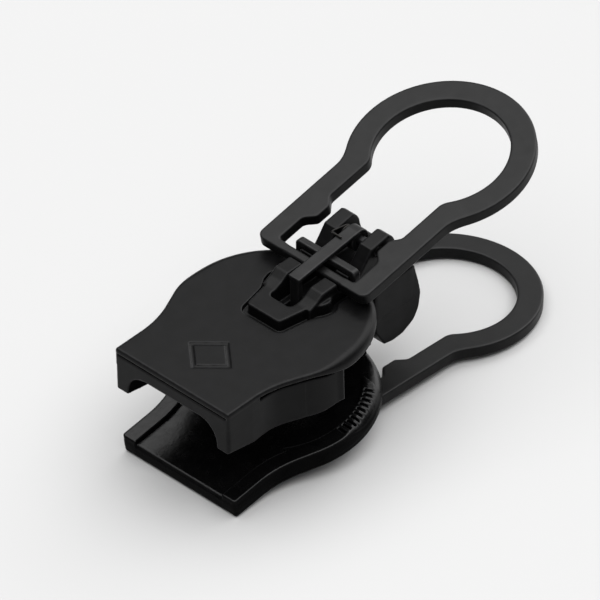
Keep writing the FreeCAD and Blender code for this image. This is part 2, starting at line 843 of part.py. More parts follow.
def build_wedge():
    """The wedge that parts the two halves of the chain, with a slot for the jaw latch."""
    body = new_body("neck_wedge")
    half = [
        Corner(d.wedge_tip_x, d.wedge_tip_half),
        Corner(d.wedge_wide_x, d.wedge_half),
        Corner(d.wedge_front_x, d.wedge_half),
    ]
    height = CLOSED_GAP - d.wedge_gap
    pad(body, "block", "XY_Plane", [mirrored(half)], height, at=-d.lower_plate - height)
    slot = box_loop(d.wedge_slot_x, -d.wedge_slot_half, d.wedge_front_x + THROUGH, d.wedge_slot_half)
    pocket(body, "latch_slot", "XY_Plane", [slot], height, at=-d.lower_plate)
    pocket(
        body, "rivet_holes", "XY_Plane", [], d.rivet_into_wedge, at=-d.lower_plate,
        circles=[(d.rivet_x, d.rivet_y, d.rivet_radius), (d.rivet_x, -d.rivet_y, d.rivet_radius)],
    )
    pocket(
        body, "pin_hole", "XZ_Plane", [], d.latch_pin_half * 2, symmetric=True,
        circles=[(d.latch_x, -d.lower_plate - d.latch_height, d.latch_pin_radius)],
    )
    return body


def build_rivets():
    """The two rivets that hold the wedge on the lower shell."""
    length = d.rivet_into_plate + d.rivet_into_wedge
    rivets = []
    for name, side in (("left_rivet", 1), ("right_rivet", -1)):
        rivet = doc.addObject("Part::Cylinder", name)
        rivet.setExpression("Radius", d.rivet_radius.formula)
        rivet.setExpression("Height", length.formula)
        low = -d.lower_plate - d.rivet_into_wedge
        rivet.setExpression("Placement.Base.x", d.rivet_x.formula)
        rivet.setExpression("Placement.Base.y", (d.rivet_y * side).formula)
        rivet.setExpression("Placement.Base.z", low.formula)
        rivets.append(rivet)
    group = doc.addObject("Part::Compound", "wedge_rivets")
    group.Label = "wedge_rivets"
    group.Links = rivets
    doc.recompute()
    return group


def build_latch():
    """The hook that holds the jaws shut, drawn hooked, about its own pin at the origin."""
    body = new_body("jaw_latch")
    nose_low = d.latch_nose - d.latch_top
    arm = [
        Corner(-d.latch_pin_radius, ZERO),
        Corner(d.latch_back, ZERO),
        Corner(d.latch_back, -d.latch_top),
        Corner(d.latch_taper - d.latch_reach, -d.latch_top),
        Corner(-d.latch_reach, nose_low),
        Corner(-d.latch_pin_radius, nose_low),
    ]
    pad(body, "arm", "XZ_Plane", [arm], d.latch_half * 2, symmetric=True)
    boss = (ZERO, ZERO, d.latch_boss)
    pad(body, "boss", "XZ_Plane", [], d.latch_half * 2, symmetric=True, circles=[boss])
    pocket(
        body, "bore", "XZ_Plane", [], (d.latch_half + THROUGH) * 2, symmetric=True,
        circles=[(ZERO, ZERO, d.latch_pin_radius + d.lever_pin_gap)],
    )
    return body


def build_latch_spring():
    """A thin bowed leaf behind the latch."""
    body = new_body("latch_spring")
    floor = -d.lower_plate
    top = floor - d.leaf_tall
    leaf = [
        Corner(d.leaf_x + d.leaf_thick, floor),
        Corner(d.leaf_x, floor),
        Corner(d.leaf_x, top, d.leaf_bow, 1),
        Corner(d.leaf_x + d.leaf_thick, top),
    ]
    leaf[0].arc = d.leaf_bow
    leaf[0].turn = -1
    pad(body, "leaf", "XZ_Plane", [leaf], d.leaf_half * 2, symmetric=True)
    return body


def build_jaw_spring():
    """The torsion spring on the hinge pin that opens the jaws, with a leg against each shell."""
    wire = d.jaw_wire.value
    radius = d.hinge_pin_radius.value + wire * COIL_CLEAR
    side = wire * COIL_PITCH * (d.jaw_rings.value - 1) / 2
    outside = radius + wire * COIL_PITCH
    solids = coil(radius, wire, -side, d.jaw_rings.value)
    for y, reach in ((-side, d.jaw_leg_out.value), (side, -d.jaw_leg_in.value)):
        solids.append(straight_leg(V(outside, y, 0), V(outside, y, reach), wire))
    return spring_part("jaw_spring", solids, V(d.hinge_x.value, 0, -d.hinge_depth.value))


# ---------------------------------------------------------------------------------------------------
# Places

lower_turn = FreeCAD.Rotation(V(0, 1, 0), -d.lower_tilt.value).multiply(FreeCAD.Rotation(V(1, 0, 0), 180))
lower_frame = FreeCAD.Placement(V(d.rear_edge_x.value, 0, 0), lower_turn)
hinge_in_shell = V(d.hinge_x.value, 0, -d.hinge_depth.value)
hinge = lower_frame.multVec(hinge_in_shell)
upper_turn = FreeCAD.Rotation(V(0, 1, 0), -d.upper_tilt.value)
upper_frame = FreeCAD.Placement(hinge - upper_turn.multVec(hinge_in_shell), upper_turn)


def tab_frame(shell_frame, pivot_x, shift, angle):
    """The tab's frame: on the crossbar's axis, slid along it by shift and turned up by angle."""
    pivot = V(pivot_x.value, shift.value, d.pivot_height.value)
    turn = FreeCAD.Rotation(V(0, 1, 0), -angle.value)
    return shell_frame.multiply(FreeCAD.Placement(pivot, turn))


placed = []


def place(part, frame):
    part.Placement = frame
    placed.append(part)


place(build_upper_shell(), upper_frame)
place(build_lower_shell(), lower_frame)
for side, shell_frame, pivot_x, shift, angle in (
    ("upper", upper_frame, d.pivot_x, d.tab_play, d.upper_tab_angle),
    ("lower", lower_frame, d.lower_pivot_x, -d.tab_play, d.lower_tab_angle),
):
    place(build_tab(f"{side}_pull_tab"), tab_frame(shell_frame, pivot_x, shift, angle))
    place(build_keeper(f"{side}_keeper"), shell_frame)

place(build_lever("lock_lever", d.upper_plate), upper_frame)
lever_pin = build_pin(
    "lever_pin", d.lever_pin_x, d.lever_pin_height, d.lever_pin_radius, -d.cheek_half, d.cheek_half
)
place(lever_pin, upper_frame)
place(build_lever_spring("lever_spring"), upper_frame)

pin_low = d.blind_end - d.knuckle_half
hinge_pin = build_pin(
    "hinge_pin", d.hinge_x, -d.hinge_depth, d.hinge_pin_radius, pin_low, d.knuckle_half
)
place(hinge_pin, upper_frame)
place(build_jaw_spring(), lower_frame)
place(build_wedge(), lower_frame)
place(build_rivets(), lower_frame)
latch_depth = -d.lower_plate - d.latch_height
latch_turn = FreeCAD.Rotation(V(0, 1, 0), -d.latch_turn.value)
latch_pivot = V(d.latch_x.value, 0, latch_depth.value)
place(build_latch(), lower_frame.multiply(FreeCAD.Placement(latch_pivot, latch_turn)))
latch_pin = build_pin(
    "latch_pin", d.latch_x, latch_depth, d.latch_pin_radius, -d.latch_pin_half, d.latch_pin_half
)
place(latch_pin, lower_frame)
place(build_latch_spring(), lower_frame)

# ---------------------------------------------------------------------------------------------------
# Checks and files

doc.recompute()
for item in doc.Objects:
    if "Invalid" in item.State or "Error" in item.State:
        raise RuntimeError(f"{item.Label} failed: {item.State}")
for part in placed:
    if part.Shape.isNull() or not part.Shape.isValid():
        raise RuntimeError(f"{part.Label} has no valid shape")

os.makedirs("parts", exist_ok=True)
for part in placed:
    part.Shape.exportStep(os.path.join("parts", f"{part.Label}.step"))
    box = part.Shape.BoundBox
    print(
        f"{part.Label:20s} solids {len(part.Shape.Solids)} volume {part.Shape.Volume:8.3f}"
        f"  x {box.XMin:7.2f} {box.XMax:7.2f}  y {box.YMin:6.2f} {box.YMax:6.2f}"
        f"  z {box.ZMin:6.2f} {box.ZMax:6.2f}"
    )
print("hinge", tuple(round(value, 4) for value in hinge))
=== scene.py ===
import math

import bpy
import numpy as np
from mathutils import Matrix, Vector


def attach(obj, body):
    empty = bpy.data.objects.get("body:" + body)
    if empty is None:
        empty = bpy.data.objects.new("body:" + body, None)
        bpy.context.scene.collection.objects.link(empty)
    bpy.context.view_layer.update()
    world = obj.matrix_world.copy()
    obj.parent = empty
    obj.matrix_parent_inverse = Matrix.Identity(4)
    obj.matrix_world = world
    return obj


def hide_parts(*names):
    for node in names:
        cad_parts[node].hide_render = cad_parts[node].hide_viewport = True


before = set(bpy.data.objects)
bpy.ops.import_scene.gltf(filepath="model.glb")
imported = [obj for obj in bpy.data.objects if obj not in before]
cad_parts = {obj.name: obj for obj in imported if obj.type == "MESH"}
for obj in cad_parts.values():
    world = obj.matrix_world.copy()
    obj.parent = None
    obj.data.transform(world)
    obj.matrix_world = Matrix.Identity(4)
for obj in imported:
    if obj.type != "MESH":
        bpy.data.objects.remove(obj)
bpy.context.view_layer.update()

# Sizes are in millimetres in the frame of the shell that carries the piece: x forward from the rear
# edge, z out of the slider. make_piece() turns them into metres in the part's own frame.

MM = 0.001
COARSE = 1.0

# ---------------------------------------------------------------------------------------------------
# Places, as in the CAD


def turned(axis, degrees):
    return np.array(Matrix.Rotation(math.radians(degrees), 4, axis))


def moved(x, y, z):
    return np.array(Matrix.Translation((x, y, z)))


REAR_EDGE_X = -14.932
REAR_OVER = 0.25
UPPER_TILT = 1.7
LOWER_TILT = 8.6
HINGE = (17.3, 0.0, -3.4)
PIVOT = (13.225, 0.0, 0.85)
LOWER_PIVOT = (12.8, 0.0, 0.85)
LEVER_PIN = (16.6, 0.0, 1.5)
LATCH_PIN = (14.1, 0.0, -2.1)
LATCH_ANGLE = 9
TAB_PLAY = 0.4
UPPER_TAB_ANGLE = 9.83
LOWER_TAB_ANGLE = 10.633

LOWER = moved(REAR_EDGE_X, 0, 0) @ turned("Y", -LOWER_TILT) @ turned("X", 180)
HINGE_AT = LOWER @ np.array([*HINGE, 1.0])
UPPER = moved(*HINGE_AT[:3]) @ turned("Y", -UPPER_TILT) @ moved(-HINGE[0], -HINGE[1], -HINGE[2])
UPPER_TAB = UPPER @ moved(PIVOT[0], TAB_PLAY, PIVOT[2]) @ turned("Y", -UPPER_TAB_ANGLE)
LOWER_TAB = LOWER @ moved(LOWER_PIVOT[0], -TAB_PLAY, LOWER_PIVOT[2]) @ turned("Y", -LOWER_TAB_ANGLE)

# ---------------------------------------------------------------------------------------------------
# Distance fields


def smooth_min(a, b, k):
    if k <= 0:
        return np.minimum(a, b)
    h = np.maximum(k - np.abs(a - b), 0) / k
    return np.minimum(a, b) - h * h * k / 4


def smooth_max(a, b, k):
    return -smooth_min(-a, -b, k)


def rounded(a, b, r):
    """The overlap of two fields, with its outer corner rounded to r."""
    u, v = a + r, b + r
    outside = np.sqrt(np.maximum(u, 0) ** 2 + np.maximum(v, 0) ** 2)
    return np.minimum(np.maximum(u, v), 0) + outside - r


def span(t, low, high):
    return np.abs(t - (low + high) / 2) - (high - low) / 2


def step(t, low, high):
    t = np.clip((t - low) / (high - low), 0, 1)
    return t * t * (3 - 2 * t)


def polygon(points, x, y):
    """Signed distance to a closed polygon."""
    nearest = None
    inside = None
    for (ax, ay), (bx, by) in zip(points, points[1:] + points[:1]):
        ex, ey = bx - ax, by - ay
        wx, wy = x - ax, y - ay
        t = np.clip((wx * ex + wy * ey) / (ex * ex + ey * ey), 0, 1)
        gap = (wx - ex * t) ** 2 + (wy - ey * t) ** 2
        crossing = ((ay > y) != (by > y)) & (wx < ex * wy / (ey if ey else 1e-9))
        nearest = gap if nearest is None else np.minimum(nearest, gap)
        inside = crossing if inside is None else inside ^ crossing
    return np.where(inside, -1.0, 1.0) * np.sqrt(nearest)


ARC_STEP = 0.16


def corners(points, radii):
    """A polygon with each corner turned into an arc of its own radius."""
    out = []
    for i, (p, r) in enumerate(zip(points, radii)):
        p = np.array(p, float)
        if r <= 0:
            out.append(tuple(p))
            continue
        u = np.array(points[i - 1], float) - p
        v = np.array(points[(i + 1) % len(points)], float) - p
        u, v = u / np.linalg.norm(u), v / np.linalg.norm(v)
        half = math.acos(np.clip(u @ v, -1, 1)) / 2
        back = r / math.tan(half)
        middle = p + (u + v) / np.linalg.norm(u + v) * (r / math.sin(half))
        a, b = p + u * back - middle, p + v * back - middle
        start, end = math.atan2(a[1], a[0]), math.atan2(b[1], b[0])
        sweep = (end - start + math.pi) % (2 * math.pi) - math.pi
        count = max(3, int(abs(sweep) / ARC_STEP))
        for n in range(count + 1):
            t = start + sweep * n / count
            out.append((middle[0] + r * math.cos(t), middle[1] + r * math.sin(t)))
    return out


def both_sides(half, radii):
    """A rounded outline from its half at positive y and the radii of that half's corners."""
    return corners(half + [(x, -y) for x, y in reversed(half)], radii + radii[::-1])


def arc(cx, cy, r, start, end, every=8):
    """Points along an arc, one for about every so many degrees."""
    count = max(2, int(abs(end - start) / every))
    angles = [math.radians(start + (end - start) * n / count) for n in range(count + 1)]
    return [(cx + r * math.cos(t), cy + r * math.sin(t)) for t in angles]


def block(x, y, z, low, high, r):
    """A box between two corners, with its edges rounded to r."""
    q = [np.abs(t - (a + b) / 2) - (b - a) / 2 + r for t, a, b in zip((x, y, z), low, high)]
    outside = np.sqrt(sum(np.maximum(t, 0) ** 2 for t in q))
    return outside + np.minimum(np.maximum(np.maximum(q[0], q[1]), q[2]), 0) - r


def round_bar(x, y, z, cx, cz, r, y_low, y_high, edge):
    """A bar along y, with the rim of its ends rounded to edge."""
    return rounded(np.hypot(x - cx, z - cz) - r, span(y, y_low, y_high), edge)


FAR = 50.0
SLOPE_REACH = 0.004
BEND_REACH = 0.07
SHARPEST = 8


class Cast:
    """A solid built up by adding and cutting fields, each worked out only inside its own box."""

    def __init__(self, low, high, cell):
        self.low = np.array(low, float)
        self.high = np.array(high, float)
        self.cell = cell * COARSE
        self.steps = []

    def put(self, field, low=None, high=None, k=0.0, cut=False):
        low = self.low - 1 if low is None else np.array(low, float)
        high = self.high + 1 if high is None else np.array(high, float)
        margin = max(k, self.cell * 3) + 0.05
        self.steps.append((field, low - margin, high + margin, k, cut))

    def cut(self, field, low=None, high=None, k=0.0):
        self.put(field, low, high, k, cut=True)

    def merged(self, value, other, k, cut):
        return smooth_max(value, -other, k) if cut else smooth_min(value, other, k)

    def grid(self, axes):
        value = np.full([len(a) for a in axes], FAR, np.float32)
        for field, low, high, k, cut in self.steps:
            cuts = [slice(*np.searchsorted(a, (lo, hi))) for a, lo, hi in zip(axes, low, high)]
            part = [a[c].astype(np.float32) for a, c in zip(axes, cuts)]
            if min(len(p) for p in part) == 0:
                continue
            x, y, z = part[0][:, None, None], part[1][None, :, None], part[2][None, None, :]
            value[tuple(cuts)] = self.merged(value[tuple(cuts)], field(x, y, z), k, cut)
        return value

    def at(self, points):
        value = np.full(len(points), FAR)
        for field, low, high, k, cut in self.steps:
            near = np.all((points > low) & (points < high), axis=1)
            if near.any():
                x, y, z = points[near].T
                value[near] = self.merged(value[near], field(x, y, z), k, cut)
        return value

    def beside(self, points, reach):
        """The field ahead of each point and behind it, along each axis."""
        return [(self.at(points + shift), self.at(points - shift)) for shift in np.eye(3) * reach]

    def slope(self, points):
        pairs = self.beside(points, SLOPE_REACH)
        return np.stack([(ahead - behind) / (2 * SLOPE_REACH) for ahead, behind in pairs], axis=1)

    def bend(self, points):
        """How sharply the surface turns at each point: 1 on an outer edge, -1 in a corner."""
        around = sum(ahead + behind for ahead, behind in self.beside(points, BEND_REACH))
        return np.clip((around - 6 * self.at(points)) / BEND_REACH ** 2 / SHARPEST, -1, 1)

    def mesh(self):
        """Surface nets, drawn onto the exact surface."""
        cell = self.cell
        start = self.low - 2.37 * cell
        axes = [np.arange(a, b + 2.5 * cell, cell) for a, b in zip(start, self.high)]
        value = self.grid(axes)
        inside = value < 0
        shape = [n - 1 for n in inside.shape]
        count = np.zeros(shape, np.int8)
        offsets = [(a, b, c) for a in (0, 1) for b in (0, 1) for c in (0, 1)]
        for a, b, c in offsets:
            count += inside[a:a + shape[0], b:b + shape[1], c:c + shape[2]]
        active = (count > 0) & (count < 8)
        cells = np.argwhere(active)
        number = np.full(shape, -1, np.int64)
        number[active] = np.arange(len(cells))
        total = np.zeros((len(cells), 3))
        hits = np.zeros(len(cells))
        for axis in range(3):
            for offset in offsets:
                if offset[axis]:
                    continue
                other = list(offset)
                other[axis] = 1
                fa = value[tuple((cells + offset).T)]
                fb = value[tuple((cells + other).T)]
                crossed = (fa < 0) != (fb < 0)
                t = np.where(crossed, fa / np.where(crossed, fa - fb, 1), 0)
                place = np.array(offset, float) + np.zeros((len(cells), 3))
                place[:, axis] = t
                total += place * crossed[:, None]
                hits += crossed
        points = start + (cells + total / hits[:, None]) * cell
        quads = []
        for axis in range(3):
            b, c = (axis + 1) % 3, (axis + 2) % 3
            low = [slice(None)] * 3
            high = [slice(None)] * 3
            low[axis], high[axis] = slice(0, -1), slice(1, None)
            first, second = inside[tuple(low)], inside[tuple(high)]
            edge = np.argwhere(first != second)
            edge = edge[(edge[:, b] > 0) & (edge[:, c] > 0)]
            edge = edge[(edge[:, b] < shape[b]) & (edge[:, c] < shape[c])]
            eb, ec = np.eye(3, dtype=int)[b], np.eye(3, dtype=int)[c]
            ring = [number[tuple((edge - s).T)] for s in (eb + ec, ec, 0 * eb, eb)]
            ring = np.stack(ring, axis=1)
            outward = first[tuple(edge.T)]
            quads.append(np.where(outward[:, None], ring, ring[:, ::-1]))
        quads = np.concatenate(quads)
        for _ in range(2):
            grad = self.slope(points)
            size = np.maximum((grad ** 2).sum(axis=1), 0.2)
            move = np.clip(self.at(points) / size, -cell * 0.7, cell * 0.7)
            points = points - grad * move[:, None]
        return points, quads, self.bend(points)


# ---------------------------------------------------------------------------------------------------
# Blender objects


def make_piece(name, points, faces, placement, material, body, slot, nodes, bend=None):
    points = (points @ placement[:3, :3].T + placement[:3, 3]) * MM
    faces = np.asarray(faces)
    mesh = bpy.data.meshes.new(name)
    mesh.vertices.add(len(points))
    mesh.vertices.foreach_set("co", points.astype(np.float32).ravel())
    mesh.loops.add(faces.size)
    mesh.loops.foreach_set("vertex_index", faces.astype(np.int32).ravel())
    mesh.polygons.add(len(faces))
    starts = np.arange(0, faces.size, faces.shape[1], dtype=np.int32)
    mesh.polygons.foreach_set("loop_start", starts)
    mesh.polygons.foreach_set("use_smooth", np.ones(len(faces), bool))
    mesh.update(calc_edges=True)
    if bend is None:
        bend = np.zeros(len(points))
    attribute = mesh.attributes.new("edge", "FLOAT", "POINT")
    attribute.data.foreach_set("value", bend.astype(np.float32))
    mesh.validate()
    piece = bpy.data.objects.new(name, mesh)
    bpy.context.scene.collection.objects.link(piece)
    mesh.materials.append(material)
    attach(piece, body)
    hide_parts(*nodes)
    return piece


def solid(name, cast, placement, material, body, slot, *nodes):
    points, quads, bend = cast.mesh()
    print(f"{name}: {len(points)} vertices")
    return make_piece(name, points, quads, placement, material, body, slot, nodes, bend)


# ---------------------------------------------------------------------------------------------------
# Materials


def material_of(name):
    material = bpy.data.materials.new(name)
    material.use_nodes = True
    tree = material.node_tree
    shader = tree.nodes["Principled BSDF"]
    return material, tree, shader


def noise(tree, scale, detail=3.0, rough=0.55):
    coordinates = tree.nodes.new("ShaderNodeTexCoord")
    texture = tree.nodes.new("ShaderNodeTexNoise")
    texture.inputs["Scale"].default_value = scale
    texture.inputs["Detail"].default_value = detail
    texture.inputs["Roughness"].default_value = rough
    tree.links.new(coordinates.outputs["Object"], texture.inputs["Vector"])
    return texture.outputs["Fac"]


def mapped(tree, value, low, high, to_low, to_high):
    node = tree.nodes.new("ShaderNodeMapRange")
    node.inputs["From Min"].default_value = low
    node.inputs["From Max"].default_value = high
    node.inputs["To Min"].default_value = to_low
    node.inputs["To Max"].default_value = to_high
    tree.links.new(value, node.inputs["Value"])
    return node.outputs["Result"]


def maths(tree, kind, a, b):
    node = tree.nodes.new("ShaderNodeMath")
    node.operation = kind
    for socket, value in zip(node.inputs, (a, b)):
        if isinstance(value, (int, float)):
            socket.default_value = value
        else:
            tree.links.new(value, socket)
    return node.outputs[0]


def blend_colour(tree, fac, first, second):
    node = tree.nodes.new("ShaderNodeMix")
    node.data_type = "RGBA"
    tree.links.new(fac, node.inputs["Factor"])
    for socket, value in ((node.inputs[6], first), (node.inputs[7], second)):
        if isinstance(value, tuple):
            socket.default_value = (*value, 1)
        else:
            tree.links.new(value, socket)
    return node.outputs[2]


def bumped(tree, height, distance, before=None):
    node = tree.nodes.new("ShaderNodeBump")
    node.inputs["Strength"].default_value = 1.0
    node.inputs["Distance"].default_value = distance
    tree.links.new(height, node.inputs["Height"])
    if before is not None:
        tree.links.new(before, node.inputs["Normal"])
    return node.outputs["Normal"]


def coating(name, dark, light, worn, rough, painted_shade_gloss, grain, grain_height, wave, wave_height, metal=0.0):
    """Black coating over metal: mottled tone, grain, slow waves, and edges rubbed smoother. The pair of
    specular levels is for side faces and for lying ones; the lower level on the side faces is painted
    shade, which darkens the sides."""
    material, tree, shader = material_of(name)
    mottle = noise(tree, 900, 4)
    tone = blend_colour(tree, mapped(tree, mottle, 0.35, 0.65, 0, 1), dark, light)
    edge = tree.nodes.new("ShaderNodeAttribute")
    edge.attribute_name = "edge"
    rubbed = mapped(tree, edge.outputs["Fac"], 0.25, 0.8, 0, 1)
    patchy = mapped(tree, noise(tree, 2500, 5, 0.7), 0.35, 0.65, 0.15, 1)
    rubbed = maths(tree, "MULTIPLY", rubbed, patchy)
    tree.links.new(blend_colour(tree, rubbed, tone, worn), shader.inputs["Base Color"])
    spread = mapped(tree, noise(tree, 1600, 4), 0.3, 0.7, rough - 0.04, rough + 0.05)
    spread = maths(tree, "SUBTRACT", spread, maths(tree, "MULTIPLY", rubbed, 0.08))
    tree.links.new(spread, shader.inputs["Roughness"])
    shader.inputs["Metallic"].default_value = metal
    # Painted shade: side faces get a lower specular level than lying faces, so the sides reflect less and
    # look darker.
    upright_painted_shade, lying = painted_shade_gloss
    place = tree.nodes.new("ShaderNodeTexCoord")
    parts = tree.nodes.new("ShaderNodeSeparateXYZ")
    tree.links.new(place.outputs["Normal"], parts.inputs["Vector"])
    level = maths(tree, "ABSOLUTE", parts.outputs["Z"], 0.0)
    tree.links.new(mapped(tree, level, 0.35, 0.85, upright_painted_shade, lying), shader.inputs["Specular IOR Level"])
    slow = bumped(tree, noise(tree, wave, 2), wave_height)
    fine = bumped(tree, noise(tree, grain, 3, 0.6), grain_height, slow)
    tree.links.new(fine, shader.inputs["Normal"])
    return material


SHELL = coating(
    "shell_black_satin",
    dark=(0.0022, 0.0022, 0.0023), light=(0.0036, 0.0036, 0.0038), worn=(0.009, 0.009, 0.0095),
    rough=0.36, painted_shade_gloss=(0.09, 0.145), grain=9000, grain_height=0.0000030,
    wave=1400, wave_height=0.000004,
)
# Painted shade: a darker copy of the shell coating, with a darker base and much duller side faces, so the
# lower shell and the wedge look shaded. It is also glossier on lying faces.
LOWER_SHELL_PAINTED_SHADE = coating(
    "shell_black_gloss_painted_shade",
    dark=(0.0012, 0.0012, 0.0013), light=(0.0022, 0.0022, 0.0023), worn=(0.009, 0.009, 0.0095),
    rough=0.24, painted_shade_gloss=(0.014, 0.24), grain=6000, grain_height=0.0000065,
    wave=2600, wave_height=0.000011,
)
TAB = coating(
    "tab_black_matt",
    dark=(0.0034, 0.0034, 0.0035), light=(0.0052, 0.0052, 0.0053), worn=(0.010, 0.010, 0.0105),
    rough=0.40, painted_shade_gloss=(0.10, 0.235), grain=16000, grain_height=0.0000028,
    wave=1200, wave_height=0.000003,
)
LOCK = coating(
    "lock_black_oxide",
    dark=(0.004, 0.004, 0.0042), light=(0.008, 0.008, 0.0083), worn=(0.016, 0.016, 0.0165),
    rough=0.36, painted_shade_gloss=(0.16, 0.26), grain=12000, grain_height=0.0000045,
    wave=2200, wave_height=0.000004,
)
PIN = coating(
    "pin_dark_steel",
    dark=(0.014, 0.014, 0.015), light=(0.024, 0.024, 0.025), worn=(0.05, 0.05, 0.05),
    rough=0.34, painted_shade_gloss=(0.3, 0.5), grain=9000, grain_height=0.000002,
    wave=1800, wave_height=0.000002, metal=0.8,
)
SPRING = coating(
    "spring_dark_wire",
    dark=(0.022, 0.021, 0.020), light=(0.034, 0.033, 0.031), worn=(0.07, 0.07, 0.068),
    rough=0.30, painted_shade_gloss=(0.3, 0.5), grain=9000, grain_height=0.0000015,
    wave=1800, wave_height=0.000002, metal=0.9,
)

# ---------------------------------------------------------------------------------------------------
# Shells

REAR_HALF = 4.96
FLANK = math.radians(23)
SHOULDER_X = 8.9
SHOULDER_R = 6.63
TONGUE_HALF = 2.6
NOSE_X = 19.2
CHEEK = 2.1
SLOT = 0.95
PLATE = {"upper": 1.4, "lower": 1.2}
KNUCKLE = 2.42
MIDDLE_HALF = 1.2
MIDDLE_FRONT = 16.2
SADDLE_R = 0.47
STAPLE = (13.8, 14.35)
STAPLE_HALF = 2.6
FLANGE_WALL = 1.05
LIP = 0.38
SWELL = (6.2, 9.4)
SHELL_BOX_HALF = 6.67
SHELL_CELL = 0.078
FLANGE = [(-1.0, -3.12), (2.2, -3.7), (7.2, -3.7), (8.8, -3.4), (8.8, 2.0), (-1.0, 2.0)]


def sides(x, y):
    """Plan outline of the rear and the shoulders, without its rear edge."""
    a = np.abs(y)
    tangent_x = SHOULDER_X - SHOULDER_R * math.sin(FLANK)
    tangent_y = SHOULDER_R * math.cos(FLANK)
    flank = (a - tangent_y) * math.cos(FLANK) - (x - tangent_x) * math.sin(FLANK)
    rear = smooth_min(a - REAR_HALF, flank, 0.6)
    rear = np.maximum(rear, x - tangent_x)
    disc = np.hypot(x - SHOULDER_X, y) - SHOULDER_R
    return np.minimum(rear, disc)


def with_tongue(x, y, half, front):
    tongue = np.maximum(np.abs(y) - half, span(x, SHOULDER_X, front))
    return smooth_min(sides(x, y), tongue, 0.5)


def add_saddle(cast, pivot_x):
    """Boss, slot, cheeks, crossbar saddle and keeper holes, the same on both shells."""
    half = [(8.1, 1.42), (10.4, 1.86), (11.2, 2.36), (11.7, 2.5), (12.3, CHEEK), (14.9, CHEEK)]
    outline = both_sides(half, [0.3, 1.6, 0.5, 0.3, 0.5, 0.0])

    def gutter(x, y, z):
        """The shaded channel that runs round the boss."""
        around = np.maximum(polygon(outline, x, y) - 0.4, x - 14.4)
        return rounded(around, span(z, -0.3, 0.6), 0.05)

    cast.cut(gutter, (7.5, -3.0, -0.35), (14.5, 3.0, 0.6), 0.04)

    def boss(x, y, z):
        return rounded(polygon(outline, x, y), span(z, -0.4, 0.55), 0.09)

    cast.put(boss, (7.9, -2.6, -0.4), (15.1, 2.6, 0.6), 0.03)

    ramp = [
        (10.2, -0.3), (14.95, -0.3), (14.95, 0.55), (14.45, 1.15), (11.45, 1.15), (10.9, 0.78), (10.2, 0.5),
    ]
    ramp = corners(ramp, [0, 0, 0.2, 0.15, 0.25, 0.4, 0])

    def cheeks(x, y, z):
        a = np.abs(y)
        return rounded(polygon(ramp, x, z), span(a, SLOT, CHEEK), 0.12)

    cast.put(cheeks, (10.1, -2.3, -0.4), (15.0, 2.3, 1.3), 0.1)

    def slot(x, y, z):
        plan = rounded(span(x, 9.62, 14.9), np.abs(y) - SLOT, 0.35)
        return rounded(plan, span(z, -0.6, 2.0), 0.05)

    cast.cut(slot, (9.5, -1.1, -0.6), (15.0, 1.1, 2.0), 0.1)

    def saddle(x, y, z):
        groove = np.hypot(x - pivot_x, z - PIVOT[2]) - SADDLE_R
        above = np.maximum(np.abs(x - pivot_x) - SADDLE_R, PIVOT[2] - z)
        return np.maximum(np.minimum(groove, above), np.abs(y) - 2.6)

    cast.cut(saddle, (pivot_x - 0.5, -2.7, 0.3), (pivot_x + 0.6, 2.7, 1.6), 0.08)

    def keeper_holes(x, y, z):
        return block(x, np.abs(y), z, (13.79, 2.17, -0.5), (14.36, 2.61, 0.6), 0.03)

    cast.cut(keeper_holes, (13.7, -2.7, -0.5), (14.4, 2.7, 0.6), 0.04)


def add_lock_seat(cast, plate):
    """The ears that hold the lever's pin, and the window for its toe."""
    ear = [(14.8, -0.3), (18.5, -0.3), (18.5, 0.0)]
    ear += arc(16.95, 1.2, 1.2, 0, 62) + [(15.95, 2.02), (15.35, 1.25), (14.8, 0.6)]

    def ears(x, y, z):
        a = np.abs(y)
        return rounded(polygon(ear, x, z), span(a, 1.0, CHEEK), 0.13)

    cast.put(ears, (14.7, -2.3, -0.4), (18.6, 2.3, 2.5), 0.1)

    def pin_holes(x, y, z):
        return np.maximum(np.hypot(x - LEVER_PIN[0], z - LEVER_PIN[2]) - 0.37, np.abs(y) - 2.4)

    cast.cut(pin_holes, (16.1, -2.4, 1.0), (17.1, 2.4, 2.0), 0.04)

    def window(x, y, z):
        return block(x, y, z, (10.05, -0.46, -plate - 1), (11.45, 0.46, 1), 0.08)

    cast.cut(window, (10.0, -0.5, -plate - 1), (11.5, 0.5, 1), 0.05)


